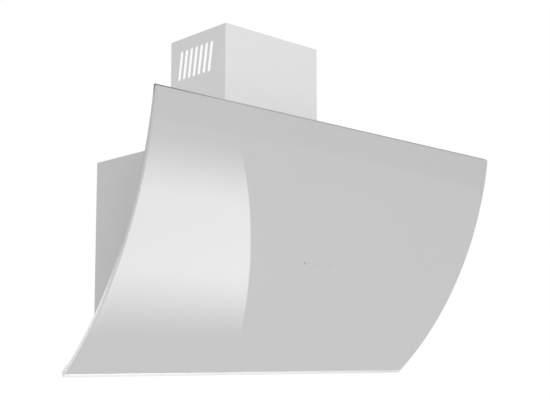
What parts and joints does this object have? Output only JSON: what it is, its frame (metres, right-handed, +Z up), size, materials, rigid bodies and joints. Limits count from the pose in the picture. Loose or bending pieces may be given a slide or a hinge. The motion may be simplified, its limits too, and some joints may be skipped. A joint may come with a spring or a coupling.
{
  "type": "wall mounted range hood",
  "caption": "Wall range hood with a curved glass front that leans out at the top and hinges open, narrower sheet-metal body, vented telescopic chimney, blower, filters, lamps and duct collar.",
  "frame": {"origin": "centre of the four wall fixing holes, on the wall plane", "axes": "+X along the wall, +Y into the wall, +Z up; the room is on the -Y side"},
  "size_m": [0.903, 0.3899, 0.6984],
  "materials": {
    "white_glass": "back-painted white safety glass, polished edge",
    "painted_steel": "smooth satin white powder coat",
    "galvanised_steel": "zinc-coated sheet",
    "motor_steel": "laminated stator, matt",
    "bright_steel": "zinc-plated, bright",
    "hinge_steel": "plated steel",
    "flap_aluminium": "thin mill-finish sheet",
    "filter_aluminium": "satin anodised",
    "filter_mesh": "expanded mesh layers",
    "rail_aluminium": "bright satin anodised",
    "cast_aluminium": "as cast",
    "lamp_trim": "satin chrome",
    "lamp_lens": "frosted",
    "black_plastic": "fine grain",
    "white_plastic": "moulded",
    "circuit_board": "solder mask",
    "rubber": "soft black",
    "seal_rubber": "soft light grey seal"
  },
  "bodies": {
    "hood_body": {"back_panel": "galvanised_steel", "side_panel_left": "painted_steel", "side_panel_right": "painted_steel", "top_panel": "painted_steel", "bottom_panel": "painted_steel", "front_fascia": "painted_steel", "filter_rail_top": "galvanised_steel", "filter_rail_bottom": "galvanised_steel", "lower_chimney_cover": "painted_steel", "chimney_bracket": "galvanised_steel", "scroll_wrapper": "galvanised_steel", "scroll_back_plate": "galvanised_steel", "scroll_front_plate": "galvanised_steel", "outlet_transition": "galvanised_steel", "inlet_ring": "black_plastic", "inlet_guard": "black_plastic", "motor_mount": "galvanised_steel", "motor": "motor_steel", "outlet_collar": "black_plastic", "damper_pin": "bright_steel", "cable_gland": "black_plastic", "control_box": "black_plastic", "control_box_lid": "black_plastic", "power_board": "circuit_board", "terminal_block": "white_plastic", "motor_capacitor": "white_plastic", "lamp_bezel_left": "lamp_trim", "lamp_bezel_right": "lamp_trim", "lamp_lens_left": "lamp_lens", "lamp_lens_right": "lamp_lens", "lamp_heatsink_left": "cast_aluminium", "lamp_heatsink_right": "cast_aluminium", "hinge_bracket_left": "hinge_steel", "hinge_bracket_right": "hinge_steel", "catch_left": "black_plastic", "catch_right": "black_plastic", "catch_buffers": "rubber", "hinge_screws": "bright_steel", "collar_screws": "bright_steel"},
    "glass_panel": {"front_glass": "white_glass", "edge_gasket": "seal_rubber", "panel_tray": "painted_steel", "bottom_rail": "rail_aluminium", "hinge_leaf_left": "hinge_steel", "hinge_leaf_right": "hinge_steel", "hinge_pins": "bright_steel", "strikers": "galvanised_steel", "touch_board": "circuit_board", "touch_housing": "black_plastic"},
    "upper_cover": {"upper_chimney_cover": "painted_steel"},
    "blower_wheel": {"impeller": "black_plastic", "motor_shaft": "bright_steel"},
    "front_flap": {"damper_flap_front": "flap_aluminium"},
    "rear_flap": {"damper_flap_rear": "flap_aluminium"},
    "left_filter": {"filter_frame_left": "filter_aluminium", "filter_mesh_left": "filter_mesh"},
    "right_filter": {"filter_frame_right": "filter_aluminium", "filter_mesh_right": "filter_mesh"},
    "left_latch": {"filter_latch_left": "black_plastic"},
    "right_latch": {"filter_latch_right": "black_plastic"}
  },
  "joints": [
    {"name": "glass_panel_hinge", "type": "hinge", "parent": "hood_body", "child": "glass_panel", "pos_m": [0, -0.32077, 0.13257], "axis": [-1, 0, 0], "range_deg": [0, 55]},
    {"name": "chimney_slide", "type": "slide", "parent": "hood_body", "child": "upper_cover", "axis": [0, 0, 1], "range_m": [0, 0.075]},
    {"name": "blower_spin", "type": "hinge", "parent": "hood_body", "child": "blower_wheel", "pos_m": [-0.059, -0.092, 0.032], "axis": [0, -1, 0], "continuous": true},
    {"name": "front_flap_hinge", "type": "hinge", "parent": "hood_body", "child": "front_flap", "pos_m": [0, -0.09, 0.189], "axis": [-1, 0, 0], "range_deg": [0, 72]},
    {"name": "rear_flap_hinge", "type": "hinge", "parent": "hood_body", "child": "rear_flap", "pos_m": [0, -0.09, 0.189], "axis": [1, 0, 0], "range_deg": [0, 72]},
    {"name": "left_filter_tilt", "type": "hinge", "parent": "hood_body", "child": "left_filter", "pos_m": [-0.15, -0.26443, 0.12379], "axis": [-1, 0, 0], "range_deg": [0, 8]},
    {"name": "left_latch_slide", "type": "slide", "parent": "left_filter", "child": "left_latch", "axis": [0, -0.4462, 0.8949], "range_m": [0, 0.005], "stiffness_N_per_m": 200, "springref_m": -0.002},
    {"name": "right_filter_tilt", "type": "hinge", "parent": "hood_body", "child": "right_filter", "pos_m": [0.15, -0.26443, 0.12379], "axis": [-1, 0, 0], "range_deg": [0, 8]},
    {"name": "right_latch_slide", "type": "slide", "parent": "right_filter", "child": "right_latch", "axis": [0, -0.4462, 0.8949], "range_m": [0, 0.005], "stiffness_N_per_m": 200, "springref_m": -0.002}
  ]
}
